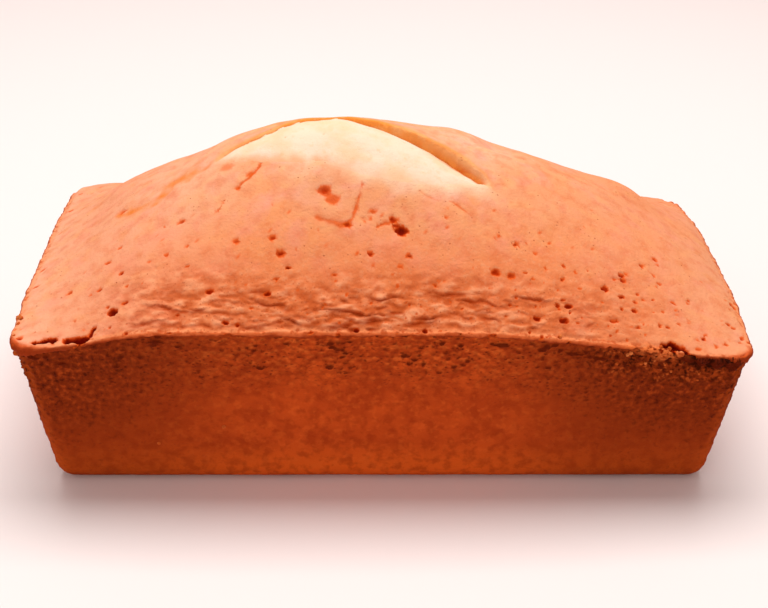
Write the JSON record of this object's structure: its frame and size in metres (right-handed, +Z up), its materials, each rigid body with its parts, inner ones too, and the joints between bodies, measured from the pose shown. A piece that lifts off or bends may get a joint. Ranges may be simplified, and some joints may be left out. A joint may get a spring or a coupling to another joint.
{
  "type": "pound cake loaf",
  "caption": "Whole loaf-shaped pound cake with tapered sides, a domed browned top crust and a lens-shaped split that shows pale crumb.",
  "frame": {"origin": "middle of the flat underside of the cake", "axes": "+X along the loaf, +Y to its back, +Z up; the side with the thin edge of the split is the front, at -Y, and the summit of the dome lies towards -X"},
  "size_m": [0.2226, 0.1272, 0.1008],
  "materials": {
    "baked_crust": "matte baked crust, peach-orange on top and dark brown on the sides, with pale cream crumb in the split"
  },
  "bodies": {
    "root": {"pound_cake": "baked_crust"}
  },
  "joints": []
}
